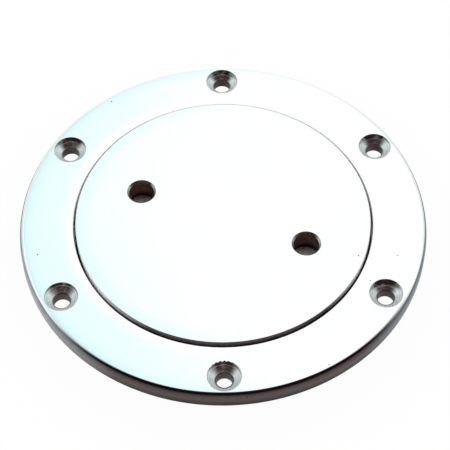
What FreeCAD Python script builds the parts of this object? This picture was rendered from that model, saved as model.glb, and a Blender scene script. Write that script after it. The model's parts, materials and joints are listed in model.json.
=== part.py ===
import FreeCAD, Part
import os
import re
import Sketcher

# Round screw-down deck plate, in millimetres. Origin: centre of the flange's underside, which lies on
# the deck. +Z points up, out of the deck, along the axis that the lid screws on.

doc = FreeCAD.newDocument("DeckPlate")

# Driving sizes. Each is written once, here, and every sketch and feature reads it.
SIZES = [
    ("lid_diameter", 97.7, "outside of the lid"),
    ("lid_gap", 0.85, "open gap between the lid's edge and the ring, all round"),
    ("lid_rise", 1.1, "how far the lid's face stands proud of the ring's face"),
    ("lid_rim_thickness", 3.6, "lid's rim, outside the seal's neck"),
    ("lid_disc_thickness", 4.5, "lid's disc, inside its skirt"),
    ("lid_edge_break", 0.4, "broken edge round the lid's face"),
    ("flange_width", 17.8, "ring's face, from the recess to the outer edge"),
    ("flange_thickness", 6.0, "ring's face to its underside"),
    ("flange_top_round", 1.6, "round on the ring's outer top edge"),
    ("flange_under_break", 0.5, "broken edge on the ring's outer lower edge"),
    ("recess_edge_break", 0.2, "broken edge round the recess"),
    ("collar_wall", 3.7, "collar outside the root of its thread"),
    ("collar_depth", 12.0, "collar below the deck face"),
    ("collar_root", 1.0, "sloped corner where the collar joins the flange"),
    ("collar_chamfer", 1.0, "lead-in on the collar's outer lower edge"),
    ("screw_count", 6, "deck screws"),
    ("screw_edge_distance", 7.25, "screw centres in from the ring's outer edge"),
    ("screw_bore", 5.8, "clearance hole of a deck screw"),
    ("sink_diameter", 11.0, "countersink at the ring's face"),
    ("sink_angle", 90.0, "included angle of the countersink"),
    ("seal_width", 2.9, "squeezed O-ring, across"),
    ("seal_height", 2.1, "squeezed O-ring, up"),
    ("seal_bulge", 0.7, "how far the O-ring's sides bulge past its flats"),
    ("seal_gap", 0.1, "O-ring to the faces that it seals"),
    ("seal_side_gap", 0.4, "O-ring to the recess wall"),
    ("neck_step", 0.4, "neck under the O-ring, proud of the thread's crest"),
    ("neck_lift", 0.3, "end of the neck above the ring's seat"),
    ("thread_pitch", 4.0, "rise of the lid in one turn"),
    ("thread_depth", 1.6, "crest to root"),
    ("thread_crest", 1.0, "width of the lid thread's crest"),
    ("thread_flank", 30.0, "flank angle"),
    ("thread_clearance", 0.3, "between the two threads, square to their faces"),
    ("thread_relief", 3.6, "plain groove above the lid's thread"),
    ("thread_lead_in", 1.8, "chamfer at the ends of the ring's thread"),
    ("skirt_depth", 11.0, "lid's threaded skirt below the deck face"),
    ("skirt_wall", 3.6, "skirt inside the thread's root"),
    ("skirt_chamfer", 1.2, "lead-in at the skirt's lower edge"),
    ("key_angle", -22.0, "direction of the line through the two key holes"),
    ("key_edge_distance", 19.5, "key hole centres in from the lid's edge"),
    ("key_bore", 8.4, "key hole"),
    ("key_depth", 7.5, "key hole, from the lid's face"),
    ("key_chamfer", 0.7, "broken edge of a key hole"),
    ("key_boss_wall", 3.2, "boss round a key hole, under the disc"),
    ("key_floor", 1.8, "metal under a key hole"),
    ("key_boss_break", 1.0, "broken edge at the foot of a boss"),
]

sheet = doc.addObject("Spreadsheet::Sheet", "Sizes")
for row, (alias, value, meaning) in enumerate(SIZES, start=1):
    sheet.set("A%d" % row, meaning)
    sheet.set("B%d" % row, str(value))
    sheet.setAlias("B%d" % row, alias)
doc.recompute()


NAMES = {alias for alias, value, meaning in SIZES}


def sized(text):
    """An expression over the sheet: each driving size is named bare in the text."""
    return re.sub(
        "[a-z_]+", lambda word: "Sizes." + word[0] if word[0] in NAMES else word[0], text)


def number(text):
    """What an expression over the sheet comes to now."""
    return float(sheet.evalExpression(sized(text)))


# Radii and heights that two pieces share, worked out from the driving sizes.
LID_R = "lid_diameter / 2"
RECESS_R = "( lid_diameter / 2 + lid_gap )"
FLANGE_R = "( lid_diameter / 2 + lid_gap + flange_width )"
SEAL_OUT_R = "( lid_diameter / 2 + lid_gap - seal_side_gap )"
SEAL_IN_R = "( lid_diameter / 2 + lid_gap - seal_side_gap - seal_width )"
NECK_R = "( lid_diameter / 2 + lid_gap - seal_side_gap - seal_width - seal_gap )"
CREST_R = "( lid_diameter / 2 + lid_gap - seal_side_gap - seal_width - seal_gap - neck_step )"
ROOT_R = "( " + CREST_R + " - thread_depth )"
SKIRT_IN_R = "( " + ROOT_R + " - skirt_wall )"
RING_CREST_R = "( " + ROOT_R + " + thread_clearance )"
RING_ROOT_R = "( " + CREST_R + " + thread_clearance )"
COLLAR_R = "( " + RING_ROOT_R + " + collar_wall )"
KEY_R = "( lid_diameter / 2 - key_edge_distance )"

LID_TOP = "( flange_thickness + lid_rise )"
RIM_UNDER = "( flange_thickness + lid_rise - lid_rim_thickness )"
DISC_UNDER = "( flange_thickness + lid_rise - lid_disc_thickness )"
SEAT = "( " + RIM_UNDER + " - seal_height - 2 * seal_gap )"
NECK_END = "( " + SEAT + " + neck_lift )"
RELIEF_END = "( " + NECK_END + " - thread_relief )"


def new_body(name):
    body = doc.addObject("PartDesign::Body", name)
    body.Label = name
    return body


def new_sketch(body, name, role, height=None):
    """A sketch on one of the body's own origin planes, raised by an expression where one is given."""
    plane = [item for item in body.Origin.OriginFeatures if item.Role == role][0]
    sketch = body.newObject("Sketcher::SketchObject", name)
    sketch.AttachmentSupport = [(plane, "")]
    sketch.MapMode = "FlatFace"
    if height:
        sketch.setExpression("AttachmentOffset.Base.z", sized(height))
    doc.recompute()
    return sketch


def hold(sketch, geometry, point, across, up):
    """Ties a point of a sketch to two expressions, measured from the sketch's origin."""
    for kind, axis, text in (("DistanceX", -2, across), ("DistanceY", -1, up)):
        if text == "0":
            sketch.addConstraint(Sketcher.Constraint("PointOnObject", geometry, point, axis))
            continue
        index = sketch.addConstraint(
            Sketcher.Constraint(kind, -1, 1, geometry, point, number(text)))
        sketch.setExpression("Constraints[%d]" % index, sized(text))


def outline(sketch, corners):
    """A closed outline of straight edges, each corner tied to its two expressions."""
    places = [FreeCAD.Vector(number(across), number(up), 0) for across, up in corners]
    count = len(corners)
    for index in range(count):
        sketch.addGeometry(Part.LineSegment(places[index], places[(index + 1) % count]), False)
    for index in range(count):
        sketch.addConstraint(
            Sketcher.Constraint("Coincident", index, 2, (index + 1) % count, 1))
    for index, (across, up) in enumerate(corners):
        hold(sketch, index, 1, across, up)
    doc.recompute()


def rounded(across, up, size):
    """Corners that follow a round on an outer top edge in three even flats."""
    corners = []
    for angle in (0, 30, 60, 90):
        corners.append((
            "%s - %s * ( 1 - cos(%d deg) )" % (across, size, angle),
            "%s - %s * ( 1 - sin(%d deg) )" % (up, size, angle)))
    return corners


def ring_of(sketch, diameter, across, up):
    """A circle tied to a centre and a diameter."""
    centre = FreeCAD.Vector(number(across), number(up), 0)
    index = sketch.addGeometry(
        Part.Circle(centre, FreeCAD.Vector(0, 0, 1), number(diameter) / 2), False)
    hold(sketch, index, 3, across, up)
    size = sketch.addConstraint(Sketcher.Constraint("Diameter", index, number(diameter)))
    sketch.setExpression("Constraints[%d]" % size, sized(diameter))
    doc.recompute()


def turn(body, name, corners):
    """A solid of revolution about Z from an outline in the XZ plane."""
    sketch = new_sketch(body, name + "Outline", "XZ_Plane")
    outline(sketch, corners)
    solid = body.newObject("PartDesign::Revolution", name)
    solid.Profile = sketch
    solid.ReferenceAxis = (sketch, ["V_Axis"])
    solid.Angle = 360
    doc.recompute()
    return solid


def circles(feature, radius, height):
    """The names of a feature's full or split circular edges about Z at a radius and a height."""
    want_r = number(radius)
    want_z = number(height)
    found = []
    for index, edge in enumerate(feature.Shape.Edges, start=1):
        curve = edge.Curve
        if not isinstance(curve, Part.Circle):
            continue
        on_axis = abs(curve.Center.x) < 1e-6 and abs(curve.Center.y) < 1e-6
        if on_axis and abs(curve.Radius - want_r) < 1e-4 and abs(curve.Center.z - want_z) < 1e-4:
            found.append("Edge%d" % index)
    return found


def chamfer(body, name, feature, edges, size):
    """A chamfer of one size on the named edges of a feature."""
    made = body.newObject("PartDesign::Chamfer", name)
    made.Base = (feature, edges)
    made.setExpression("Size", sized(size))
    doc.recompute()
    return made


def thread_cut(body, name, corners, rise):
    """A helical groove, right-handed, that climbs from the outline's own place in the XZ plane."""
    sketch = new_sketch(body, name + "Outline", "XZ_Plane")
    outline(sketch, corners)
    groove = body.newObject("PartDesign::SubtractiveHelix", name)
    groove.Profile = sketch
    groove.ReferenceAxis = (sketch, ["V_Axis"])
    groove.Mode = "pitch-height-angle"
    groove.setExpression("Pitch", sized("thread_pitch"))
    groove.setExpression("Height", sized(rise))
    groove.Angle = 0
    groove.LeftHanded = False
    groove.Reversed = False
    doc.recompute()
    return groove


def around(body, name, feature, turns):
    """Copies of a feature, evenly spaced about Z."""
    pattern = body.newObject("PartDesign::PolarPattern", name)
    pattern.Originals = [feature]
    axis = [item for item in body.Origin.OriginFeatures if item.Role == "Z_Axis"][0]
    pattern.Axis = (axis, [""])
    pattern.Angle = 360
    pattern.setExpression("Occurrences", turns)
    body.Tip = pattern
    doc.recompute()
    return pattern


def deck_ring():
    """Flange, collar and seat in one casting, threaded inside and drilled for the deck screws."""
    body = new_body("deck_ring")
    blank = turn(body, "RingBlank", [
        (RING_CREST_R, "0 - collar_depth"),
        (COLLAR_R, "0 - collar_depth"),
        (COLLAR_R, "0"),
        (FLANGE_R, "0"),
    ] + rounded(FLANGE_R, "flange_thickness", "flange_top_round") + [
        (RECESS_R, "flange_thickness"),
        (RECESS_R, SEAT),
        (RING_CREST_R, SEAT),
    ])
    under = chamfer(body, "FlangeUnderEdge", blank,
                    circles(blank, FLANGE_R, "0"), "flange_under_break")
    mouth = chamfer(body, "RecessEdge", under,
                    circles(under, RECESS_R, "flange_thickness"), "recess_edge_break")
    corner = chamfer(body, "CollarRoot", mouth, circles(mouth, COLLAR_R, "0"), "collar_root")
    foot = chamfer(body, "CollarLeadIn", corner,
                   circles(corner, COLLAR_R, "0 - collar_depth"), "collar_chamfer")
    ends = circles(foot, RING_CREST_R, SEAT) + circles(foot, RING_CREST_R, "0 - collar_depth")
    chamfer(body, "ThreadLeadIn", foot, ends, "thread_lead_in")

    # The groove is the lid thread's ridge, grown by the clearance: wide at the crest of the ring's
    # thread and narrow at its root. It starts below the collar and leaves above the seat.
    start = "0 - collar_depth - thread_pitch"
    slope = "tan(thread_flank * 1 deg)"
    spread = "thread_clearance / cos(thread_flank * 1 deg)"
    at_root = "( thread_crest / 2 - thread_clearance * " + slope + " + " + spread + " )"
    overcut = "thread_clearance"
    at_crest = "( " + at_root + " + ( thread_depth + " + overcut + " ) * " + slope + " )"
    inner = "( " + RING_CREST_R + " - " + overcut + " )"
    thread_cut(body, "RingThread", [
        (inner, start + " - " + at_crest),
        (RING_ROOT_R, start + " - " + at_root),
        (RING_ROOT_R, start + " + " + at_root),
        (inner, start + " + " + at_crest),
    ], "collar_depth + 2 * thread_pitch + " + SEAT)

    sketch = new_sketch(body, "ScrewPlace", "XY_Plane", "flange_thickness")
    ring_of(sketch, "screw_bore", "0", FLANGE_R + " - screw_edge_distance")
    hole = body.newObject("PartDesign::Hole", "ScrewHole")
    hole.Profile = sketch
    hole.Threaded = False
    hole.ThreadType = "None"
    hole.setExpression("Diameter", sized("screw_bore"))
    hole.DepthType = "ThroughAll"
    hole.HoleCutType = "Countersink"
    hole.HoleCutCustomValues = True
    hole.setExpression("HoleCutDiameter", sized("sink_diameter"))
    hole.setExpression("HoleCutCountersinkAngle", sized("sink_angle"))
    doc.recompute()
    around(body, "ScrewHoles", hole, sized("screw_count"))
    return body


def o_ring():
    """Rubber ring round the lid's neck, squeezed between the lid's rim and the ring's seat."""
    body = new_body("o_ring")
    low = "( " + SEAT + " + seal_gap )"
    middle = "( " + SEAT + " + seal_gap + seal_height / 2 )"
    high = "( " + SEAT + " + seal_gap + seal_height )"
    turn(body, "SealSection", [
        (SEAL_IN_R + " + seal_bulge", low),
        (SEAL_OUT_R + " - seal_bulge", low),
        (SEAL_OUT_R, middle),
        (SEAL_OUT_R + " - seal_bulge", high),
        (SEAL_IN_R + " + seal_bulge", high),
        (SEAL_IN_R, middle),
    ])
    return body


def screw_lid():
    """Disc with a hollow threaded skirt, and two blind key holes in bosses under the disc."""
    body = new_body("screw_lid")
    blank = turn(body, "LidBlank", [
        ("0", LID_TOP),
        ("0", DISC_UNDER),
        (SKIRT_IN_R, DISC_UNDER),
        (SKIRT_IN_R, "0 - skirt_depth"),
        (CREST_R, "0 - skirt_depth"),
        (CREST_R, RELIEF_END),
        (ROOT_R, RELIEF_END),
        (ROOT_R, NECK_END),
        (NECK_R, NECK_END),
        (NECK_R, RIM_UNDER),
        (LID_R, RIM_UNDER),
        (LID_R, LID_TOP),
    ])
    top = chamfer(body, "LidEdge", blank, circles(blank, LID_R, LID_TOP), "lid_edge_break")
    chamfer(body, "SkirtLeadIn", top, circles(top, CREST_R, "0 - skirt_depth"), "skirt_chamfer")

    # The groove between two turns of the lid's ridge, half a pitch above the ring's groove, so that
    # the ridges mesh at rest. It starts below the skirt and ends in the relief above the thread.
    start = "0 - collar_depth - thread_pitch / 2"
    slope = "tan(thread_flank * 1 deg)"
    at_crest = "( thread_pitch / 2 - thread_crest / 2 )"
    at_root = "( " + at_crest + " - thread_depth * " + slope + " )"
    overcut = "thread_clearance"
    outside = "( " + at_crest + " + " + overcut + " * " + slope + " )"
    end = "( " + NECK_END + " - thread_relief / 2 )"
    thread_cut(body, "LidThread", [
        (ROOT_R, start + " - " + at_root),
        (CREST_R + " + " + overcut, start + " - " + outside),
        (CREST_R + " + " + overcut, start + " + " + outside),
        (ROOT_R, start + " + " + at_root),
    ], end + " + collar_depth + thread_pitch / 2")

    boss_bottom = "( " + LID_TOP + " - key_depth - key_floor )"
    across = KEY_R + " * cos(key_angle * 1 deg)"
    up = KEY_R + " * sin(key_angle * 1 deg)"
    boss_sketch = new_sketch(body, "KeyBossPlace", "XY_Plane", boss_bottom)
    ring_of(boss_sketch, "key_bore + 2 * key_boss_wall", across, up)
    boss = body.newObject("PartDesign::Pad", "KeyBoss")
    boss.Profile = boss_sketch
    boss.setExpression("Length", sized("key_depth + key_floor - lid_disc_thickness / 2"))
    doc.recompute()
    bosses = around(body, "KeyBosses", boss, "2")
    rims = []
    for index, edge in enumerate(bosses.Shape.Edges, start=1):
        curve = edge.Curve
        low_edge = isinstance(curve, Part.Circle) and abs(curve.Center.z - number(boss_bottom)) < 1e-4
        if low_edge and abs(curve.Radius - number("key_bore / 2 + key_boss_wall")) < 1e-4:
            rims.append("Edge%d" % index)
    chamfer(body, "KeyBossEdge", bosses, rims, "key_boss_break")

    key_sketch = new_sketch(body, "KeyPlace", "XY_Plane", LID_TOP)
    ring_of(key_sketch, "key_bore", across, up)
    key = body.newObject("PartDesign::Hole", "KeyHole")
    key.Profile = key_sketch
    key.Threaded = False
    key.ThreadType = "None"
    key.setExpression("Diameter", sized("key_bore"))
    key.DepthType = "Dimension"
    key.setExpression("Depth", sized("key_depth"))
    key.DrillPoint = "Flat"
    key.HoleCutType = "Countersink"
    key.HoleCutCustomValues = True
    key.setExpression("HoleCutDiameter", sized("key_bore + 2 * key_chamfer"))
    key.HoleCutCountersinkAngle = 90
    doc.recompute()
    around(body, "KeyHoles", key, "2")
    return body


pieces = [deck_ring(), o_ring(), screw_lid()]
doc.recompute()

for item in doc.Objects:
    if "Invalid" in item.State or "Error" in item.State:
        raise RuntimeError("%s failed: %s" % (item.Name, item.State))

os.makedirs("parts", exist_ok=True)
for piece in pieces:
    shape = piece.Shape
    if shape.isNull() or not shape.isValid() or len(shape.Solids) != 1:
        raise RuntimeError("%s is not one valid solid" % piece.Label)
    shape.exportStep("parts/%s.step" % piece.Label)
    print("%s: %.1f mm3, box %s" % (piece.Label, shape.Volume, shape.BoundBox))
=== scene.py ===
import json
import math
import random

import bmesh
import bpy
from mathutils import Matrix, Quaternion, Vector


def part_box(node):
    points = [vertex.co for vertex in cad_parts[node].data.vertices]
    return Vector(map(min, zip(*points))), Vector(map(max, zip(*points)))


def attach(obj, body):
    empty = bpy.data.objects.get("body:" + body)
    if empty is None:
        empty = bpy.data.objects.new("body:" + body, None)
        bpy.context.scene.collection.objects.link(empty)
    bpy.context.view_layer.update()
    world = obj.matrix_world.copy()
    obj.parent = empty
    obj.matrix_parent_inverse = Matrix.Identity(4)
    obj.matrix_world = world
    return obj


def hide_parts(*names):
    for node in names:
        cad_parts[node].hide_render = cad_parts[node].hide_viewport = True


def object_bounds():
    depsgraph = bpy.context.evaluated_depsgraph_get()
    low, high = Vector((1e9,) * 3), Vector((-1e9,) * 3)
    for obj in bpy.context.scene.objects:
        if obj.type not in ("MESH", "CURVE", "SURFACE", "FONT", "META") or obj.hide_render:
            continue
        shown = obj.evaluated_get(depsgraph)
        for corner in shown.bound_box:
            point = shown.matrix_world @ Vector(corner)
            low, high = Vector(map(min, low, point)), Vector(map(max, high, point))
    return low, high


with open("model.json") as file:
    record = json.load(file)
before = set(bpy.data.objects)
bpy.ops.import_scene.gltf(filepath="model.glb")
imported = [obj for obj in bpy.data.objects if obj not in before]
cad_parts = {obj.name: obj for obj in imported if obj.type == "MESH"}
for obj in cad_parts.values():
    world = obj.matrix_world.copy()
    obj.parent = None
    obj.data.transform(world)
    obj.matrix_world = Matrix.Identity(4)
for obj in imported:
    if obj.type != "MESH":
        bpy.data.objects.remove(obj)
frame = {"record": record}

cad_low, cad_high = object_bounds()


# Deck ring: one casting, turned all over, with a flange on the deck, a seat for the seal and a
# threaded collar that hangs through the deck. Its face and outer edge are buffed and plated, its
# side keeps the lathe's finish, and the six screw holes were countersunk last, with some chatter.
MM = 0.001
ring_low, ring_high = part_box("deck_ring")
seal_low, seal_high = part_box("o_ring")
lid_low, lid_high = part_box("screw_lid")
mounts = {mount["name"]: mount for mount in frame["record"]["mounts"]}

SIDES = 288
LID_GAP = 0.85 * MM
RECESS_R = lid_high.x + LID_GAP
SEAL_WIDTH = 2.9 * MM
SEAL_CLEARANCE = 0.1 * MM
SEAT_Z = seal_low.z - SEAL_CLEARANCE
NECK_R = seal_high.x - SEAL_WIDTH - SEAL_CLEARANCE
COLLAR_R = mounts["deck_cutout"]["dims"]["r_mm"] * MM
COLLAR_ROOT = 1.0 * MM
COLLAR_LEAD_IN = 1.0 * MM
UNDER_BREAK = 0.3 * MM
MOUTH_BREAK = 0.15 * MM

# The outer edge is an arc, from a crease against the face down to the side. The buffing wheel
# reached the part of it above the second angle.
EDGE_ROUND = 2.42 * MM
EDGE_START = 70
BUFFED_TO = 45

# A loop of points this close to a corner keeps the flat beside it flat, and points closer than the
# second distance are the same point.
SUPPORT = 0.1 * MM
SAME_PLACE = 1e-7

PITCH = 4.0 * MM
THREAD_DEPTH = 1.6 * MM
THREAD_CLEARANCE = 0.3 * MM
THREAD_STEP = 0.3 * MM
CREST_BELOW_NECK = 0.4 * MM
LID_CREST_R = NECK_R - CREST_BELOW_NECK
LID_ROOT_R = LID_CREST_R - THREAD_DEPTH
RING_CREST_R = LID_ROOT_R + THREAD_CLEARANCE
RING_ROOT_R = LID_CREST_R + THREAD_CLEARANCE
RING_ROOT_HALF = 0.673 * MM
RING_CREST_HALF = 1.597 * MM
LEAD_IN = 1.8 * MM

# The buffing wheel has worn the flat face down a little at both edges, over these widths.
MOUTH_WEAR = 0.10 * MM
MOUTH_WEAR_WIDTH = 4.0 * MM
OUTER_WEAR = 0.10 * MM
OUTER_WEAR_WIDTH = 6.0 * MM

BUFFED, TURNED, SATIN, SUNK, DRILLED, SIDE = range(6)


def arc(across, up, size, start, end, steps):
    """Points on a round, as radius and height, from one angle to another in degrees."""
    turns = [math.radians(start + (end - start) * step / steps) for step in range(steps + 1)]
    return [(across + size * math.cos(turn), up + size * math.sin(turn)) for turn in turns]


def strip(points, finish):
    """Points of an outline whose stretches, up to each point, have one finish."""
    return [(radius, height, finish) for radius, height in points]


def bridge(mesh, lower, upper, finish):
    """A band of faces between two loops of as many points."""
    for side in range(len(lower)):
        after = (side + 1) % len(lower)
        face = mesh.faces.new((lower[side], lower[after], upper[after], upper[side]))
        face.material_index = finish


def revolve(mesh, outline, sides=SIDES, centre=(0.0, 0.0)):
    """Turns an outline about an upright axis. A radius may be a function of the angle."""
    loops = []
    for radius, height, finish in outline:
        loop = []
        for side in range(sides):
            turn = 2 * math.pi * side / sides
            reach = radius(turn) if callable(radius) else radius
            loop.append(mesh.verts.new((
                centre[0] + reach * math.cos(turn), centre[1] + reach * math.sin(turn), height)))
        if loops:
            bridge(mesh, loops[-1], loop, finish)
        loops.append(loop)
    return loops


def thread(mesh, section, low, high, trim, finish):
    """A right-hand helical band between two heights. The section is the thread's outline over one
    pitch, and trim changes its radius where the ends are chamfered."""
    points = []
    for (rise, radius), (next_rise, next_radius) in zip(section, section[1:]):
        steps = max(1, round((next_rise - rise) / THREAD_STEP))
        for step in range(steps):
            share = step / steps
            points.append((rise + (next_rise - rise) * share, radius + (next_radius - radius) * share))
    rows = []
    for turn in range(math.floor(low / PITCH) - 2, math.ceil(high / PITCH) + 2):
        rows += [turn * PITCH + rise for rise, radius in points]

    def cut_radius(height):
        place = section[0][0] + (height - section[0][0]) % PITCH
        for (rise, radius), (next_rise, next_radius) in zip(section, section[1:]):
            if place <= next_rise:
                return radius + (next_radius - radius) * (place - rise) / (next_rise - rise)
        return section[-1][1]

    columns = []
    for side in range(SIDES):
        turn = 2 * math.pi * side / SIDES
        climb = PITCH * side / SIDES
        column = []
        for row in rows:
            height = min(max(row + climb, low), high)
            reach = trim(cut_radius(height - climb), height)
            column.append(mesh.verts.new((reach * math.cos(turn), reach * math.sin(turn), height)))
        columns.append(column)
    for side, column in enumerate(columns):
        shift = 0 if side + 1 < SIDES else len(points)
        beside = columns[(side + 1) % SIDES]
        for row in range(len(rows) - 1 - shift):
            face = mesh.faces.new((
                column[row], beside[row + shift], beside[row + shift + 1], column[row + 1]))
            face.material_index = finish
    return [column[0] for column in columns], [column[-1] for column in columns]


def as_object(mesh, name, materials):
    """A closed mesh as an object, with doubled points merged and its faces turned outwards."""
    bmesh.ops.remove_doubles(mesh, verts=mesh.verts, dist=SAME_PLACE)
    bmesh.ops.recalc_face_normals(mesh, faces=mesh.faces)
    data = bpy.data.meshes.new(name)
    mesh.to_mesh(data)
    mesh.free()
    for material in materials:
        data.materials.append(material)
    thing = bpy.data.objects.new(name, data)
    bpy.context.scene.collection.objects.link(thing)
    return thing


def machine(blank, tool, operation):
    """Cuts a tool's shape out of a blank, or joins it on, and throws the tool away."""
    step = blank.modifiers.new(tool.name, "BOOLEAN")
    step.object = tool
    step.operation = operation
    step.solver = "EXACT"
    made = bpy.data.meshes.new_from_object(
        blank.evaluated_get(bpy.context.evaluated_depsgraph_get()))
    blank.modifiers.clear()
    blank.data = made
    bpy.data.objects.remove(tool)


def crisp(thing, angle=28):
    """Smooth faces with sharp corners, and normals that keep the large faces flat."""
    thing.data.shade_smooth()
    thing.data.set_sharp_from_angle(angle=math.radians(angle))
    even = thing.modifiers.new("even_faces", "WEIGHTED_NORMAL")
    even.keep_sharp = True


def plug(tree, socket, value):
    """Links a socket to another one, or gives it a plain value."""
    if isinstance(value, bpy.types.NodeSocket):
        tree.links.new(value, socket)
    else:
        socket.default_value = value


def node(tree, kind, **settings):
    """A shader node. A setting is a property of the node, or else one of its sockets, by name."""
    made = tree.nodes.new("ShaderNode" + kind)
    for name, value in settings.items():
        if hasattr(made, name):
            setattr(made, name, value)
        else:
            plug(tree, made.inputs[name.replace("_", " ")], value)
    return made


def worked(tree, operation, *values):
    """A Math node on sockets or numbers."""
    made = node(tree, "Math", operation=operation)
    for socket, value in zip(made.inputs, values):
        plug(tree, socket, value)
    return made.outputs[0]


def ranged(tree, value, low, high, to_low=0.0, to_high=1.0, kind="LINEAR"):
    """A value moved from one range to another, and held inside it."""
    return node(tree, "MapRange", interpolation_type=kind, Value=value, From_Min=low, From_Max=high,
                To_Min=to_low, To_Max=to_high).outputs["Result"]


def blended(tree, share, first, second):
    """A mix of two colours."""
    made = node(tree, "Mix", data_type="RGBA")
    for socket, value in ((made.inputs[0], share), (made.inputs[6], first), (made.inputs[7], second)):
        plug(tree, socket, (*value, 1) if isinstance(value, tuple) else value)
    return made.outputs[2]


def effect(name, inputs, outputs):
    """A new node group. Its inputs are names with default numbers, or None for a place in space."""
    tree = bpy.data.node_groups.new(name, "ShaderNodeTree")
    for title, value in inputs.items():
        kind = "NodeSocketVector" if value is None else "NodeSocketFloat"
        socket = tree.interface.new_socket(title, in_out="INPUT", socket_type=kind)
        if value is not None:
            socket.default_value = value
    for title in outputs:
        tree.interface.new_socket(title, in_out="OUTPUT", socket_type="NodeSocketFloat")
    given = tree.nodes.new("NodeGroupInput").outputs
    wanted = tree.nodes.new("NodeGroupOutput").inputs
    return tree, given, wanted


def use(tree, group, **settings):
    """An effect placed in a material with its own values."""
    made = tree.nodes.new("ShaderNodeGroup")
    made.node_tree = group
    for name, value in settings.items():
        plug(tree, made.inputs[name.replace("_", " ")], value)
    return made.outputs


def finish_named(name):
    """A new material: its node tree, its shader and its place in the piece's own space."""
    material = bpy.data.materials.new(name)
    material.use_nodes = True
    tree = material.node_tree
    shader = tree.nodes["Principled BSDF"]
    place = node(tree, "TexCoord").outputs["Object"]
    return material, tree, shader, place


def bump(tree, shader, height, depth):
    """Relief on a surface, as deep as depth in metres where height is one."""
    made = node(tree, "Bump", Height=height, Distance=depth)
    tree.links.new(made.outputs["Normal"], shader.inputs["Normal"])


# Marks of a turning tool or a drill: bands of uneven depth, by how far along the tool has fed.
LATHE_DRIFT = 0.8
lathe_marks, given, wanted = effect(
    "lathe_marks", {"Along": 0.0, "Feed": 0.3 * MM, "Place": None}, ["Height"])
drift = node(lathe_marks, "TexNoise", Vector=given["Place"], Scale=60.0, Detail=1.0).outputs["Fac"]
turns = worked(lathe_marks, "DIVIDE", given["Along"], given["Feed"])
turns = worked(lathe_marks, "ADD", turns, worked(lathe_marks, "MULTIPLY", drift, LATHE_DRIFT))
uneven = node(lathe_marks, "TexNoise", noise_dimensions="1D", W=turns, Scale=1.0, Detail=3.0)
lathe_marks.links.new(uneven.outputs["Fac"], wanted["Height"])

# Hair scratches of a buffing wheel and a rag, in three directions, with a soft haze between.
HAIR_ANGLES = (0.35, 1.45, 2.6)
HAIR_STRETCH = (2600, 45, 45)
rag_marks, given, wanted = effect("rag_marks", {"Place": None, "Amount": 1.0}, ["Scratches", "Haze"])
scratches = 0.0
for angle in HAIR_ANGLES:
    turned = node(rag_marks, "Mapping", Vector=given["Place"])
    turned.inputs["Rotation"].default_value = (0, 0, angle)
    turned.inputs["Scale"].default_value = HAIR_STRETCH
    hair = node(rag_marks, "TexNoise", Vector=turned.outputs["Vector"], Detail=1.0, Distortion=0.3)
    hair.inputs["Scale"].default_value = 1.0
    hair_lines = ranged(rag_marks, hair.outputs["Fac"], 0.62, 0.78)
    scratches = worked(rag_marks, "MAXIMUM", scratches, hair_lines)
rag_marks.links.new(worked(rag_marks, "MULTIPLY", scratches, given["Amount"]), wanted["Scratches"])
haze = node(rag_marks, "TexNoise", Vector=given["Place"], Scale=38.0, Detail=4.0, Roughness=0.6)
rag_marks.links.new(haze.outputs["Fac"], wanted["Haze"])

# Brown film where the plating is thin and dirt stays, in soft patches with speckled edges.
FILM_EDGE = 0.12
brown_film, given, wanted = effect("brown_film", {"Place": None, "Cover": 0.5}, ["Film"])
patches = node(brown_film, "TexNoise", Vector=given["Place"], Scale=420.0, Detail=5.0, Roughness=0.65)
bare = worked(brown_film, "SUBTRACT", 1.0, given["Cover"])
above = worked(brown_film, "SUBTRACT", patches.outputs["Fac"], bare)
brown_film.links.new(ranged(brown_film, above, -FILM_EDGE, FILM_EDGE), wanted["Film"])


def apart(tree, place):
    """A place as its three distances, along X, Y and Z."""
    return node(tree, "SeparateXYZ", Vector=place).outputs


def length_of(tree, across, along):
    """How far a point lies, from its two distances at right angles."""
    squares = [worked(tree, "MULTIPLY", part, part) for part in (across, along)]
    return worked(tree, "SQRT", worked(tree, "ADD", *squares))


def tooled(tree, place, along, feed, cover=0.5):
    """A tool's marks, by how far along it has fed, and the brown film that lies over them."""
    lines = use(tree, lathe_marks, Along=along, Feed=feed, Place=place)["Height"]
    return lines, use(tree, brown_film, Place=place, Cover=cover)["Film"]


def metal_finish(tree, shader, colour, metallic, lines, rough, depth):
    """Gives a shader its colour, and a tool's marks as its gloss and its relief."""
    tree.links.new(colour, shader.inputs["Base Color"])
    shader.inputs["Metallic"].default_value = metallic
    tree.links.new(ranged(tree, lines, 0.3, 0.7, *rough), shader.inputs["Roughness"])
    bump(tree, shader, lines, depth)


MIRROR = (1.0, 1.0, 1.0)
CLOUDY_MIRROR = (0.993, 0.996, 0.996)
HAZE_ROUGH = (0.045, 0.10)
HAIR_ROUGH = 0.06


def buffed_plate(name):
    """Mirror plating on a buffed face, with faint haze, hair scratches and the lathe marks that the
    buffing left."""
    material, tree, shader, place = finish_named(name)
    marks = use(tree, rag_marks, Place=place)
    parts = apart(tree, place)
    radius = length_of(tree, parts["X"], parts["Y"])
    rings = use(tree, lathe_marks, Along=radius, Feed=0.45 * MM, Place=place)["Height"]
    colour = blended(tree, ranged(tree, marks["Haze"], 0.35, 0.7), MIRROR, CLOUDY_MIRROR)
    tree.links.new(colour, shader.inputs["Base Color"])
    shader.inputs["Metallic"].default_value = 1
    hair = worked(tree, "MULTIPLY", marks["Scratches"], HAIR_ROUGH)
    rough = worked(tree, "ADD", ranged(tree, marks["Haze"], 0.3, 0.75, *HAZE_ROUGH), hair)
    tree.links.new(rough, shader.inputs["Roughness"])
    relief = worked(tree, "SUBTRACT", worked(tree, "MULTIPLY", rings, 0.5), marks["Scratches"])
    bump(tree, shader, relief, 0.0012 * MM)
    return material


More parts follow.
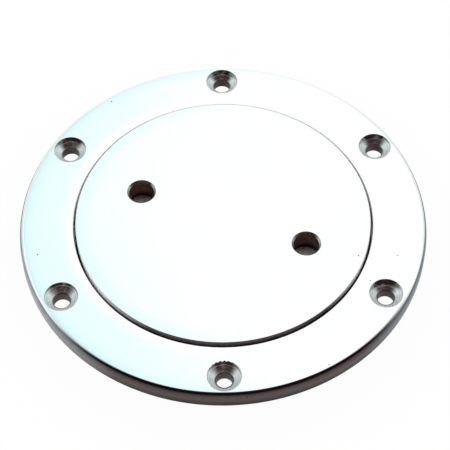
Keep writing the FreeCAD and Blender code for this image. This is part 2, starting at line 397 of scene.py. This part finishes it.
def machined(name, feed, groove, land, film, cover, strength, rough, depth):
    """Metal as a tool left it: its grooves and lands in two colours, with a brown film over part of
    them."""
    material, tree, shader, place = finish_named(name)
    parts = apart(tree, place)
    fed = worked(tree, "ADD", length_of(tree, parts["X"], parts["Y"]), parts["Z"])
    lines, stain = tooled(tree, place, fed, feed, cover)
    metal = blended(tree, ranged(tree, lines, 0.35, 0.65), groove, land)
    colour = blended(tree, worked(tree, "MULTIPLY", stain, strength), metal, film)
    metal_finish(tree, shader, colour, 1, lines, rough, depth)
    return material


# The side's dark colour is partly its dull film and partly a painted reflection of a shadowed table,
# and painted shade darkens it further from the top down between these heights. A lighter painted
# reflection at the plate's left and right comes in between the two distances along X that stand
# before its colour.
SIDE_SHADE_FULL_BELOW = 1.2 * MM
SIDE_SHADE_GONE_ABOVE = 4.4 * MM
SIDE_FOOT_PAINTED_SHADE = (0.026, 0.016, 0.018)
SIDE_FILM_AND_PAINTED_REFLECTION = (0.130, 0.100, 0.095)
PAINTED_REFLECTION_ENDS = [(-0.034, -0.062, (0.44, 0.49, 0.53)), (0.044, 0.062, (0.23, 0.28, 0.32))]
SIDE_GROOVE = (0.02, 0.016, 0.016)
SIDE_STAIN = (0.055, 0.045, 0.036)


def turned_side(name):
    """Side of the flange: dull lathe work whose dark brown is partly a film and partly a painted
    reflection of a shadowed table, with painted shade towards its foot and a lighter painted
    reflection at the plate's left and right."""
    material, tree, shader, place = finish_named(name)
    parts = apart(tree, place)
    lines, stain = tooled(tree, place, parts["Z"], 0.3 * MM)
    # Painted shade darkens the side towards its foot, and lighter painted reflections follow at its
    # left and right ends.
    colour = blended(tree, ranged(tree, parts["Z"], SIDE_SHADE_FULL_BELOW, SIDE_SHADE_GONE_ABOVE), SIDE_FOOT_PAINTED_SHADE, SIDE_FILM_AND_PAINTED_REFLECTION)
    for start, full, painted_reflection in PAINTED_REFLECTION_ENDS:
        colour = blended(tree, ranged(tree, parts["X"], start, full), colour, painted_reflection)
    grooves = worked(tree, "MULTIPLY", ranged(tree, lines, 0.62, 0.38), 0.3)
    colour = blended(tree, grooves, colour, SIDE_GROOVE)
    colour = blended(tree, worked(tree, "MULTIPLY", stain, 0.25), colour, SIDE_STAIN)
    metal_finish(tree, shader, colour, 1, lines, (0.34, 0.48), 0.015 * MM)
    return material


SCREW_CIRCLE_R = mounts["deck_screws"]["dims"]["pcd_mm"] / 2 * MM
SCREW_BORE_R = mounts["deck_screws"]["dims"]["hole_r_mm"] * MM
SINK_R = 5.5 * MM
SINK_FOOT = ring_high.z - SINK_R + SCREW_BORE_R
HOLE_STEP = math.pi / 3
FIRST_HOLE = math.pi / 6

# Which side of the nearest screw hole a place is on: 1 is the side away from the front, -1 the near.
screw_hole_side, given, wanted = effect("screw_hole_side", {"Place": None}, ["Away"])
parts = apart(screw_hole_side, given["Place"])
turned = worked(screw_hole_side, "ARCTAN2", parts["Y"], parts["X"])
past_first = worked(screw_hole_side, "SUBTRACT", turned, FIRST_HOLE)
holes_on = worked(screw_hole_side, "ROUND", worked(screw_hole_side, "DIVIDE", past_first, HOLE_STEP))
towards = worked(screw_hole_side, "MULTIPLY_ADD", holes_on, HOLE_STEP, FIRST_HOLE)
offsets = []
for axis, part in (("COSINE", "X"), ("SINE", "Y")):
    middle = worked(screw_hole_side, "MULTIPLY", worked(screw_hole_side, axis, towards), SCREW_CIRCLE_R)
    offsets.append(worked(screw_hole_side, "SUBTRACT", parts[part], middle))
reach = length_of(screw_hole_side, *offsets)
screw_hole_side.links.new(worked(screw_hole_side, "DIVIDE", offsets[1], reach), wanted["Away"])

# In a countersink the dark brown is a brown stain with painted shade over it. It is darkest above a
# ledge, which wanders between these depths below the face, and a scratch of bare metal follows the
# ledge. Below it the cutter's rings shine through. Painted shade also darkens the foot.
LEDGE_HIGH = 0.8 * MM
LEDGE_LOW = 1.6 * MM
FOOT_SHADE_HEIGHT = 0.35 * MM
SUNK_GROOVE = (0.80, 0.91, 0.92)
SUNK_LAND = (0.98, 1.0, 1.0)
SUNK_STAIN_AND_SHADE = (0.095, 0.058, 0.048)
SUNK_DEEP_STAIN_AND_SHADE = (0.050, 0.030, 0.025)
SUNK_RIM_PAINTED_SHADE = (0.020, 0.009, 0.008)
SUNK_SCRATCH = (0.42, 0.31, 0.31)
SUNK_RING = (0.42, 0.40, 0.40)


def countersunk(name):
    """Countersink cut after the buffing: pale and dull, with the cutter's rings. On the side away from
    the front, a brown stain lies under painted shade for the dark room it reflects, and a bright
    scratch parts it from the rim. Painted shade also darkens it towards its foot."""
    material, tree, shader, place = finish_named(name)
    height = apart(tree, place)["Z"]
    away = use(tree, screw_hole_side, Place=place)["Away"]
    lines, stain = tooled(tree, place, height, 0.40 * MM)
    metal = blended(tree, ranged(tree, lines, 0.40, 0.60), SUNK_GROOVE, SUNK_LAND)

    wander = node(tree, "TexNoise", Vector=place, Scale=26.0, Detail=0.0).outputs["Fac"]
    ledge = ranged(tree, wander, 0.3, 0.7, LEDGE_HIGH, LEDGE_LOW)
    ledge = worked(tree, "MULTIPLY", ledge, ranged(tree, away, 0.0, 0.8, 0.35, 1.0))
    below = worked(tree, "SUBTRACT", worked(tree, "SUBTRACT", ring_high.z, height), ledge)

    # Painted shade: the side away from the front is darkened for the dark room it reflects, most above
    # the ledge, and the foot is darkened too.
    far = ranged(tree, away, 0.35, 0.92, kind="SMOOTHSTEP")
    far = worked(tree, "ADD", far, ranged(tree, stain, 0.0, 1.0, -0.12, 0.14))
    above = ranged(tree, below, 0.05 * MM, -0.30 * MM)
    rim = worked(tree, "MULTIPLY", ranged(tree, away, -0.1, 0.75), above)
    rim = worked(tree, "MULTIPLY", rim, ranged(tree, stain, 0.0, 1.0, 0.62, 1.0))
    foot = ranged(tree, height, SINK_FOOT + FOOT_SHADE_HEIGHT, SINK_FOOT, 0.0, 0.8)
    painted_shade = worked(tree, "MAXIMUM", worked(tree, "MAXIMUM", far, rim), foot)

    brown = blended(tree, stain, SUNK_STAIN_AND_SHADE, SUNK_DEEP_STAIN_AND_SHADE)
    brown = blended(tree, ranged(tree, below, 0.10 * MM, -0.45 * MM), brown, SUNK_RIM_PAINTED_SHADE)
    thin = ranged(tree, worked(tree, "ABSOLUTE", below), 0.13 * MM, 0.05 * MM)
    thin = worked(tree, "MULTIPLY", thin, ranged(tree, stain, 0.0, 1.0, 0.85, 0.3))
    brown = blended(tree, thin, brown, SUNK_SCRATCH)
    under_ledge = ranged(tree, below, -0.05 * MM, 0.3 * MM)
    cut = worked(tree, "MULTIPLY", ranged(tree, lines, 0.52, 0.60), under_ledge)
    brown = blended(tree, worked(tree, "MULTIPLY", cut, 0.4), brown, SUNK_RING)
    metal_finish(tree, shader, blended(tree, painted_shade, metal, brown), 0.4, lines, (0.26, 0.42), 0.05 * MM)
    return material


# The gap's walls get a painted dark reflection towards the front, for the dark room they face, a
# little sooner on the right, and painted black shade at their foot there. Lengths along Y are in
# metres from the plate's axis.
GAP_GROOVE = (0.84, 0.80, 0.79)
GAP_LAND = (1.0, 1.0, 1.0)
GAP_FILM = (0.50, 0.40, 0.37)
GAP_FRONT_SHADE = (0.115, 0.097, 0.094)
GAP_FRONT_DEEP_SHADE = (0.070, 0.054, 0.051)
GAP_FOOT_SHADE = (0.012, 0.008, 0.008)
GAP_FOOT_TOP = 5.4 * MM
GAP_FOOT_END = 4.5 * MM
SOONER_RIGHT = 0.2


def gap_side(name):
    """Walls of the gap round the lid: dull satin plate that no wheel reached, pale at the plate's
    sides, with a painted dark reflection at its front and painted shade deep in the gap there."""
    material, tree, shader, place = finish_named(name)
    parts = apart(tree, place)
    lines, stain = tooled(tree, place, parts["Z"], 0.3 * MM, 0.4)
    metal = blended(tree, ranged(tree, lines, 0.35, 0.65), GAP_GROOVE, GAP_LAND)
    colour = blended(tree, worked(tree, "MULTIPLY", stain, 0.35), metal, GAP_FILM)
    rightward = worked(tree, "MULTIPLY", worked(tree, "MAXIMUM", parts["X"], 0.0), SOONER_RIGHT)
    forward = worked(tree, "SUBTRACT", parts["Y"], rightward)
    # Painted reflection of the dark room at the front, uneven with the stain, and painted shade at the
    # foot.
    front_shade = blended(tree, stain, GAP_FRONT_SHADE, GAP_FRONT_DEEP_SHADE)
    colour = blended(tree, ranged(tree, forward, -0.030, -0.043), colour, front_shade)
    deep = ranged(tree, parts["Z"], GAP_FOOT_TOP, GAP_FOOT_END, 0.0, 0.92)
    deep = worked(tree, "MULTIPLY", deep, ranged(tree, forward, -0.022, -0.038))
    colour = blended(tree, deep, colour, GAP_FOOT_SHADE)
    metal_finish(tree, shader, colour, 0.1, lines, (0.46, 0.60), 0.01 * MM)
    return material


finishes = [
    buffed_plate("buffed_plate"),
    turned_side("turned_side"),
    machined("satin_plate", 0.3 * MM, (0.50, 0.49, 0.48), (0.64, 0.64, 0.635),
             (0.33, 0.28, 0.24), 0.42, 0.55, (0.28, 0.44), 0.012 * MM),
    countersunk("countersunk"),
    # Painted shade: the drilled bores and pits are coloured near black for the shade inside the holes,
    # with a brown film over part of them.
    machined("drilled_bore", 0.35 * MM, (0.050, 0.038, 0.038), (0.105, 0.085, 0.084),
             (0.035, 0.022, 0.020), 0.5, 0.6, (0.40, 0.56), 0.03 * MM),
    gap_side("gap_side"),
]


def pitted(blank, places, name):
    """Small pits in a surface: each place is a point in millimetres and the pit's radius."""
    holes = bmesh.new()
    for x, y, z, size in places:
        made = bmesh.ops.create_icosphere(holes, subdivisions=2, radius=size * MM)
        draw = random.Random(round(1000 * abs(x)))
        for corner in made["verts"]:
            corner.co *= draw.uniform(0.75, 1.1)
            corner.co += Vector((x, y, z)) * MM
    for face in holes.faces:
        face.material_index = DRILLED
    machine(blank, as_object(holes, name, finishes), "DIFFERENCE")


SINK_SIDES = 144
SINK_ROWS = 44
SINK_BOW = 0.25
SINK_PAST_FACE = 1.1

# The chatter is sharpest at the rim and on one side of a hole, and there is less of it at an angle
# to that side. Its bite and the cutter's rings fade away from their worst side by these powers and
# shares.
RIM_TEETH = 6
WORST_SIDE = 16
BESIDE_ANGLE = 95
BESIDE_SHARE = 0.45
RING_EVEN = 0.35
RING_ONE_SIDE = 0.65

# Each hole's direction, its chatter's depth, marks to a turn and worst side, the depth and feed of
# the cutter's rings, where they are worst, and how far the bore's dark lip stands in. Lengths are
# in millimetres and angles in degrees.
SCREW_HOLES = [
    (90, 0.03, 31, 100, 0.012, 0.42, 190, 0.0),
    (150, 0.03, 27, 200, 0.026, 0.42, 150, 0.0),
    (210, 0.02, 33, 60, 0.008, 0.45, 120, 0.12),
    (270, 0.22, 25, 96, 0.010, 0.50, 80, 0.28),
    (330, 0.03, 29, 300, 0.034, 0.62, 110, 0.16),
    (30, 0.03, 25, 240, 0.016, 0.38, 170, 0.0),
]


def near_side(around, side):
    """1 on one side of a hole, which is given in degrees, and 0 opposite it."""
    return 0.5 + 0.5 * math.cos(around - math.radians(side))


def screw_hole(mesh, angle, chatter, marks, worst, ring_depth, feed, ring_side, lip):
    """A countersink and its hole, as a solid to be cut out of the flange."""
    turn = math.radians(angle)
    draw = random.Random(angle)
    phase = draw.uniform(0, 2 * math.pi)
    drift = draw.uniform(2.2, 3.4)
    depth = ring_high.z - SINK_FOOT

    def wall(height):
        share = (height - SINK_FOOT) / depth
        bowed = share * (1 + SINK_BOW) - SINK_BOW * share * share
        fade = min(1, share * 3) * min(1, max(0, (1 - share) * 5))
        rings = ring_depth * MM * fade * math.sin(2 * math.pi * (ring_high.z - height) / (feed * MM))

        def radius(around):
            at_worst = near_side(around, worst) ** WORST_SIDE
            beside = near_side(around, worst + BESIDE_ANGLE) ** 2
            notch = 1 - 2 * abs(math.sin(marks / 2 * around + phase + drift * math.sin(around) / 8))
            bite = chatter * MM * (at_worst + BESIDE_SHARE * beside) * notch
            bite *= max(0, share) ** RIM_TEETH
            ringed = rings * (RING_EVEN + RING_ONE_SIDE * near_side(around, ring_side))
            return SCREW_BORE_R + depth * bowed + ringed + bite
        return radius

    bore_r = SCREW_BORE_R - lip * MM
    outline = strip([(0, -MM), (bore_r, -MM), (bore_r, SINK_FOOT - 0.3 * lip * MM)], DRILLED)
    outline += strip([(SCREW_BORE_R, SINK_FOOT)], DRILLED)
    rows = range(1, SINK_ROWS + 1)
    heights = [SINK_FOOT + depth * SINK_PAST_FACE * row / SINK_ROWS for row in rows]
    outline += strip([(wall(height), height) for height in heights] + [(0, heights[-1])], SUNK)
    centre = (SCREW_CIRCLE_R * math.cos(turn), SCREW_CIRCLE_R * math.sin(turn))
    revolve(mesh, outline, SINK_SIDES, centre)


face_in = RECESS_R + MOUTH_BREAK
face_out = ring_high.x - EDGE_ROUND * (1 - math.cos(math.radians(EDGE_START)))


def ring_face(radius):
    """Height of the ring's face, worn at its mouth and at its outer edge."""
    near_mouth = max(0, 1 - (radius - face_in) / MOUTH_WEAR_WIDTH)
    near_edge = max(0, 1 - (face_out - radius) / OUTER_WEAR_WIDTH)
    return ring_high.z - MOUTH_WEAR * near_mouth ** 2 - OUTER_WEAR * near_edge ** 4


face_radii = [face_in + MOUTH_WEAR_WIDTH * step / 8 for step in range(9)]
face_radii += [face_out - OUTER_WEAR_WIDTH * (1 - step / 12) for step in range(13)]
mouth_z = ring_face(face_in) - MOUTH_BREAK
edge_z = ring_face(face_out) - EDGE_ROUND * math.sin(math.radians(EDGE_START))
edge_at = (ring_high.x - EDGE_ROUND, edge_z)
ring_outline = strip([(RING_CREST_R + LEAD_IN, SEAT_Z)], SATIN)
ring_outline += strip([(RECESS_R, SEAT_Z), (RECESS_R, mouth_z - SUPPORT)], SIDE)
ring_outline += strip(arc(face_in, mouth_z, MOUTH_BREAK, 180, 95, 4), BUFFED)
ring_outline += strip([(radius, ring_face(radius)) for radius in face_radii], BUFFED)
ring_outline += strip(arc(*edge_at, EDGE_ROUND, EDGE_START, BUFFED_TO, 14), BUFFED)
ring_outline += strip(arc(*edge_at, EDGE_ROUND, BUFFED_TO, 0, 10)[1:], TURNED)
ring_outline += strip([(ring_high.x, edge_z - SUPPORT), (ring_high.x, UNDER_BREAK + SUPPORT)], TURNED)
ring_outline += strip([(ring_high.x, UNDER_BREAK), (ring_high.x - UNDER_BREAK, 0)], TURNED)
ring_outline += strip([(COLLAR_R + COLLAR_ROOT, 0), (COLLAR_R, -COLLAR_ROOT)], SATIN)
ring_outline += strip([(COLLAR_R, ring_low.z + COLLAR_LEAD_IN)], SATIN)
ring_outline += strip([(COLLAR_R - COLLAR_LEAD_IN, ring_low.z)], SATIN)
ring_outline += strip([(RING_CREST_R + LEAD_IN, ring_low.z)], SATIN)


def ring_lead_in(radius, height):
    """The ring's thread is opened by a chamfer at both ends."""
    to_end = min(height - ring_low.z, SEAT_Z - height)
    return max(radius, RING_CREST_R + LEAD_IN - to_end)


ring_section = [
    (-RING_ROOT_HALF, RING_ROOT_R), (RING_ROOT_HALF, RING_ROOT_R), (RING_CREST_HALF, RING_CREST_R),
    (PITCH - RING_CREST_HALF, RING_CREST_R), (PITCH - RING_ROOT_HALF, RING_ROOT_R)]
RING_PITS = [
    (-60.7, -13.6, 6.08, 0.28), (-38.7, 51.5, 6.02, 0.25), (56.8, -15.5, 6.1, 0.21),
    (47.4, -25.2, 6.1, 0.22), (52.8, -35.2, 6.1, 0.28), (53.6, -34.3, 6.1, 0.22),
    (32.6, -56.5, 5.95, 0.22), (6.9, -67.2, 4.5, 0.40), (8.1, -67.05, 4.5, 0.28),
    (-52.5, -43.4, 2.6, 0.35)]
shape = bmesh.new()
revolve(shape, ring_outline)
thread(shape, ring_section, ring_low.z, SEAT_Z, ring_lead_in, SATIN)
ring = as_object(shape, "deck_ring_casting", finishes)
shape = bmesh.new()
for hole in SCREW_HOLES:
    screw_hole(shape, *hole)
machine(ring, as_object(shape, "countersink", finishes), "DIFFERENCE")
pitted(ring, RING_PITS, "ring_pit")
crisp(ring)
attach(ring, "ring")
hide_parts("deck_ring")


# Seal: a black rubber O-ring, moulded in two halves, so that a thin line of flash runs round it. The
# lid squeezes it into an oval between its rim and the ring's seat.
SEAL_SIDES = 240
SEAL_STEPS = 40
SEAL_SQUARENESS = 0.8
FLASH = 0.05 * MM
FLASH_WIDTH = 0.09
RUBBER_BLACK = (0.012, 0.012, 0.013)
RUBBER_BLOOM = (0.038, 0.037, 0.036)
RUBBER_DUST = (0.16, 0.15, 0.14)


def rubber(name):
    """Smooth black rubber with a greyish bloom and dust."""
    material, tree, shader, place = finish_named(name)
    bloom = node(tree, "TexNoise", Vector=place, Scale=160.0, Detail=4.0).outputs["Fac"]
    dust = node(tree, "TexNoise", Vector=place, Scale=2400.0, Detail=2.0).outputs["Fac"]
    colour = blended(tree, bloom, RUBBER_BLACK, RUBBER_BLOOM)
    colour = blended(tree, ranged(tree, dust, 0.64, 0.72, 0.0, 0.5), colour, RUBBER_DUST)
    tree.links.new(colour, shader.inputs["Base Color"])
    tree.links.new(ranged(tree, bloom, 0.3, 0.7, 0.38, 0.6), shader.inputs["Roughness"])
    bump(tree, shader, dust, 0.01 * MM)
    return material


seal_half = SEAL_WIDTH / 2
seal_rise = (seal_high.z - seal_low.z) / 2
seal_outline = []
for step in range(SEAL_STEPS + 1):
    turn = 2 * math.pi * step / SEAL_STEPS
    across = math.copysign(abs(math.cos(turn)) ** SEAL_SQUARENESS, math.cos(turn))
    up = math.copysign(abs(math.sin(turn)) ** SEAL_SQUARENESS, math.sin(turn))
    proud = FLASH * math.exp(-(math.sin(turn) / FLASH_WIDTH) ** 2)
    reach = (seal_half - FLASH + proud) * across
    seal_outline.append((seal_high.x - seal_half + reach, seal_low.z + seal_rise * (1 + up)))
shape = bmesh.new()
revolve(shape, strip(seal_outline, 0), SEAL_SIDES)
seal = as_object(shape, "o_ring_rubber", [rubber("black_rubber")])
seal.data.shade_smooth()
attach(seal, "seal")
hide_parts("o_ring")


# Lid: a disc with a hollow, threaded skirt, turned from one casting. Its face is buffed and plated
# like the ring's. Two blind key holes, for the pins of a spanner, go down into bosses under the disc.
NECK_END = 1.5 * MM
RIM_UNDER = 3.5 * MM
DISC_UNDER = 2.6 * MM
LID_CREST_HALF = 0.5 * MM
LID_ROOT_HALF = 1.424 * MM
RELIEF_END = -2.1 * MM
SKIRT_IN_R = LID_ROOT_R - 3.6 * MM
SKIRT_LEAD_IN = 1.2 * MM
LID_EDGE = 0.35 * MM
LID_EDGE_END = 88
LID_BUFFED_FROM = 44
LID_WEAR = 0.05 * MM
LID_WEAR_WIDTH = 4.5 * MM
LID_DISH = 0.08 * MM
LID_DISH_R = 44.0 * MM

KEY_DEPTH = 7.5 * MM
KEY_CHAMFER = 0.7 * MM
KEY_FLOOR = 1.8 * MM
KEY_BOSS_WALL = 3.2 * MM
KEY_BOSS_BREAK = 1.0 * MM
KEY_SIDES = 128
KEY_RINGS = 6
KEY_RING_DEPTH = 0.03 * MM
KEY_STEPS = 4 * KEY_RINGS
key_floor_z = lid_high.z - KEY_DEPTH

WORN, BORED, FLOOR = 6, 7, 8
BORE_GROOVE = (0.36, 0.27, 0.23)
BORE_LAND = (0.62, 0.51, 0.45)
BORE_FILM = (0.27, 0.115, 0.09)
BORE_FLOOR_SHADE = (0.03, 0.008, 0.006)


def key_bore(name):
    """Bore of a key hole: brown and dull, with drill marks, and painted shade blackest round its floor.
    """
    material, tree, shader, place = finish_named(name)
    height = apart(tree, place)["Z"]
    lines, stain = tooled(tree, place, height, 0.5 * MM)
    colour = blended(tree, ranged(tree, lines, 0.35, 0.65), BORE_GROOVE, BORE_LAND)
    colour = blended(tree, worked(tree, "MULTIPLY", stain, 0.65), colour, BORE_FILM)
    # Painted shade: the bore darkens to black towards its floor.
    foot = ranged(tree, height, key_floor_z + 3.0 * MM, key_floor_z + 0.3 * MM)
    colour = blended(tree, foot, colour, BORE_FLOOR_SHADE)
    metal_finish(tree, shader, colour, 1, lines, (0.42, 0.58), 0.03 * MM)
    return material


lid_finishes = finishes + [
    machined("worn_edge", 0.5 * MM, (0.50, 0.52, 0.46), (0.66, 0.69, 0.64),
             (0.30, 0.27, 0.19), 0.5, 0.6, (0.22, 0.34), 0.01 * MM),
    key_bore("key_bore"),
    machined("key_floor", 0.5 * MM, (0.68, 0.51, 0.51), (0.90, 0.75, 0.75),
             (0.52, 0.35, 0.34), 0.4, 0.5, (0.36, 0.50), 0.02 * MM),
]


def lid_lead_in(radius, height):
    """The lid's thread starts at a chamfer round the foot of its skirt."""
    return min(radius, LID_CREST_R - SKIRT_LEAD_IN + height - lid_low.z)


def lid_face(radius):
    """Height of the lid's face, very slightly hollow, and worn at its edge."""
    near_edge = max(0, 1 - (lid_high.x - LID_EDGE - radius) / LID_WEAR_WIDTH)
    hollow = max(0, 1 - (radius / LID_DISH_R) ** 4)
    return lid_high.z - LID_WEAR * near_edge ** 2 - LID_DISH * hollow


lid_edge_at = (lid_high.x - LID_EDGE, lid_face(lid_high.x - LID_EDGE) - LID_EDGE)
lid_radii = [lid_edge_at[0] - LID_WEAR_WIDTH * step / 10 for step in range(1, 10)]
lid_radii += [LID_DISH_R * (1 - step / 16) for step in range(17)]
lid_outline = strip([(LID_ROOT_R, RELIEF_END), (LID_ROOT_R, NECK_END), (NECK_R, NECK_END)], SATIN)
lid_outline += strip([(NECK_R, RIM_UNDER), (lid_high.x, RIM_UNDER)], SATIN)
lid_outline += strip([(lid_high.x, lid_edge_at[1] - SUPPORT)], SIDE)
lid_outline += strip(arc(*lid_edge_at, LID_EDGE, 0, LID_BUFFED_FROM, 4), SIDE)
lid_outline += strip(arc(*lid_edge_at, LID_EDGE, LID_BUFFED_FROM, LID_EDGE_END, 5)[1:], BUFFED)
lid_outline += strip([(radius, lid_face(radius)) for radius in lid_radii], BUFFED)
lid_section = [
    (-LID_CREST_HALF, LID_CREST_R), (LID_CREST_HALF, LID_CREST_R), (LID_ROOT_HALF, LID_ROOT_R),
    (PITCH - LID_ROOT_HALF, LID_ROOT_R), (PITCH - LID_CREST_HALF, LID_CREST_R)]
lid_foot = [(SKIRT_IN_R, lid_low.z), (SKIRT_IN_R, DISC_UNDER), (2 * MM, DISC_UNDER), (0, DISC_UNDER)]

key_bore_r = mounts["key_hole_right"]["dims"]["r_mm"] * MM
key_places = [mounts[name]["pos_m"][:2] for name in ("key_hole_right", "key_hole_left")]
boss_r = key_bore_r + KEY_BOSS_WALL
boss_foot = key_floor_z - KEY_FLOOR
boss_outline = strip([(0, DISC_UNDER + MM), (boss_r, DISC_UNDER + MM)], SATIN)
boss_outline += strip([(boss_r, boss_foot + KEY_BOSS_BREAK)], SATIN)
boss_outline += strip([(boss_r - KEY_BOSS_BREAK, boss_foot), (0, boss_foot)], SATIN)
key_outline = strip([(0, lid_high.z + MM), (key_bore_r + KEY_CHAMFER + MM, lid_high.z + MM)], WORN)
key_outline += strip([(key_bore_r, lid_high.z - KEY_CHAMFER)], WORN)
key_outline += strip([(key_bore_r, key_floor_z)], BORED)
for step in range(1, KEY_STEPS + 1):
    ringed = key_floor_z + KEY_RING_DEPTH * (1 - math.cos(math.pi * step / 2))
    key_outline += strip([(key_bore_r * (1 - step / KEY_STEPS), ringed)], FLOOR)

LID_PITS = [
    (44.0, -16.1, 7.18, 0.26), (45.2, -15.2, 7.18, 0.20), (42.0, -16.2, 7.18, 0.15),
    (22.5, -6.6, 7.12, 0.15), (-24.3, 16.8, 7.12, 0.13)]
shape = bmesh.new()
top_loops = revolve(shape, lid_outline)
low_loop, high_loop = thread(shape, lid_section, lid_low.z, RELIEF_END, lid_lead_in, SATIN)
bridge(shape, high_loop, top_loops[0], SATIN)
foot_loops = revolve(shape, strip(lid_foot, SATIN))
bridge(shape, low_loop, foot_loops[0], SATIN)
lid = as_object(shape, "lid_casting", lid_finishes)
shape = bmesh.new()
for place in key_places:
    revolve(shape, boss_outline, KEY_SIDES, place)
machine(lid, as_object(shape, "key_boss", lid_finishes), "UNION")
shape = bmesh.new()
for place in key_places:
    revolve(shape, key_outline, KEY_SIDES, place)
machine(lid, as_object(shape, "key_hole", lid_finishes), "DIFFERENCE")
pitted(lid, LID_PITS, "lid_pit")
crisp(lid)
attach(lid, "lid")
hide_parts("screw_lid")


# Studio: a white floor under the collar and soft white light all round. The polished metal also sees
# the dark of the room behind the camera, and a cool window far to the left.
FLOOR_R = 6.0
FLOOR_GLOW = 0.94
floor_shape = bmesh.new()
bmesh.ops.create_circle(floor_shape, cap_ends=True, radius=FLOOR_R, segments=96)
bmesh.ops.translate(floor_shape, verts=floor_shape.verts, vec=(0, 0, cad_low.z))
floor_data = bpy.data.meshes.new("floor")
floor_shape.to_mesh(floor_data)
floor = bpy.data.objects.new("floor", floor_data)
bpy.context.scene.collection.objects.link(floor)
paper = bpy.data.materials.new("white_paper")
paper.use_nodes = True
tree = paper.node_tree
tree.nodes.clear()
path = node(tree, "LightPath").outputs
through = worked(tree, "MAXIMUM", path["Is Glossy Ray"], path["Is Transmission Ray"])
seen = worked(tree, "MAXIMUM", path["Is Camera Ray"], through)
grain = node(tree, "TexNoise", Vector=node(tree, "TexCoord").outputs["Object"], Scale=900.0, Detail=3.0)
white = blended(tree, grain.outputs["Fac"], (0.985, 0.985, 0.985), (1.0, 1.0, 1.0))
sheet = node(tree, "BsdfDiffuse", Color=white)
glow = node(tree, "Emission", Strength=1.0)
mixed = node(tree, "MixShader", Fac=worked(tree, "MULTIPLY", seen, FLOOR_GLOW))
tree.links.new(sheet.outputs[0], mixed.inputs[1])
tree.links.new(glow.outputs[0], mixed.inputs[2])
out = node(tree, "OutputMaterial")
tree.links.new(mixed.outputs[0], out.inputs["Surface"])
floor_data.materials.append(paper)

# The window's colours, each with how far to the left it starts and is full.
PLAIN_WHITE = (1.0, 1.0, 1.0)
WINDOW = [
    (0.055, 0.11, (0.855, 1.0, 1.0)),
    (0.11, 0.19, (0.76, 0.985, 0.99)),
    (0.19, 0.30, (0.66, 0.87, 0.92)),
]
WINDOW_HEIGHT = 0.80
WALL_FOOT = (0.60, 0.68, 0.70)
CEILING = (0.050, 0.042, 0.048)
DARK_ROOM = (0.006, 0.003, 0.004)
ROOM_FOOT = (0.85, 0.83, 0.83)
ROOM_TURNED = 0.15
world = bpy.data.worlds.new("studio")
bpy.context.scene.world = world
world.use_nodes = True
tree = world.node_tree
tree.nodes.clear()
parts = apart(tree, node(tree, "TexCoord").outputs["Generated"])

rightward = worked(tree, "MULTIPLY", worked(tree, "MAXIMUM", parts["X"], 0.0), ROOM_TURNED)
forward = worked(tree, "SUBTRACT", parts["Y"], rightward)
behind = ranged(tree, forward, 0.12, -0.32, kind="SMOOTHSTEP")
room = blended(tree, ranged(tree, parts["Z"], 0.98, 0.86), CEILING, DARK_ROOM)
aside = worked(tree, "MULTIPLY", worked(tree, "ABSOLUTE", parts["X"]), 0.2)
level = worked(tree, "ADD", parts["Z"], aside)
room = blended(tree, ranged(tree, level, 0.50, 0.32, kind="SMOOTHSTEP"), room, ROOM_FOOT)

off_level = worked(tree, "ABSOLUTE", worked(tree, "SUBTRACT", parts["Z"], WINDOW_HEIGHT))
leftward = worked(tree, "SUBTRACT", worked(tree, "MULTIPLY", off_level, 0.95), parts["X"])
window = PLAIN_WHITE
for start, full, cool in WINDOW:
    window = blended(tree, ranged(tree, leftward, start, full), window, cool)
walls = ranged(tree, parts["Z"], 0.10, 0.40, kind="SMOOTHSTEP")
walls = blended(tree, walls, WALL_FOOT, PLAIN_WHITE)
dome = blended(tree, ranged(tree, parts["Z"], 0.45, 0.7), walls, window)
mirrored = blended(tree, behind, dome, room)

path = node(tree, "LightPath").outputs
plain = worked(tree, "MAXIMUM", path["Is Camera Ray"], path["Is Diffuse Ray"])
sky = blended(tree, plain, mirrored, PLAIN_WHITE)
light = node(tree, "Background", Color=sky, Strength=1.0)
out = node(tree, "OutputWorld")
tree.links.new(light.outputs[0], out.inputs["Surface"])


# Camera: on a stand over the front edge, looking down at a little over half a right angle. Its
# angles are in degrees, and its focal length and the width of its frame in pixels.
FOCAL_PX = 1617.0
FRAME_PX = 450
SENSOR_MM = 36
AZIMUTH = 0.177
ELEVATION = 54.086
ROLL = -0.751
DISTANCE = 534.9 * MM
TARGET = Vector((0.656 * MM, -2.471 * MM, ring_high.z))
turn = math.radians(AZIMUTH)
rise = math.radians(ELEVATION)
back = Vector((math.sin(turn) * math.cos(rise), -math.cos(turn) * math.cos(rise), math.sin(rise)))
lens = bpy.data.cameras.new("camera")
lens.sensor_width = SENSOR_MM
lens.lens = FOCAL_PX * SENSOR_MM / FRAME_PX
lens.clip_start = 0.01
lens.clip_end = 20
camera = bpy.data.objects.new("camera", lens)
camera.rotation_mode = "QUATERNION"
camera.location = TARGET + back * DISTANCE
camera.rotation_quaternion = Quaternion(back, math.radians(ROLL)) @ (-back).to_track_quat("-Z", "Y")
bpy.context.scene.collection.objects.link(camera)
bpy.context.scene.camera = camera
bpy.context.scene.view_settings.view_transform = "Standard"
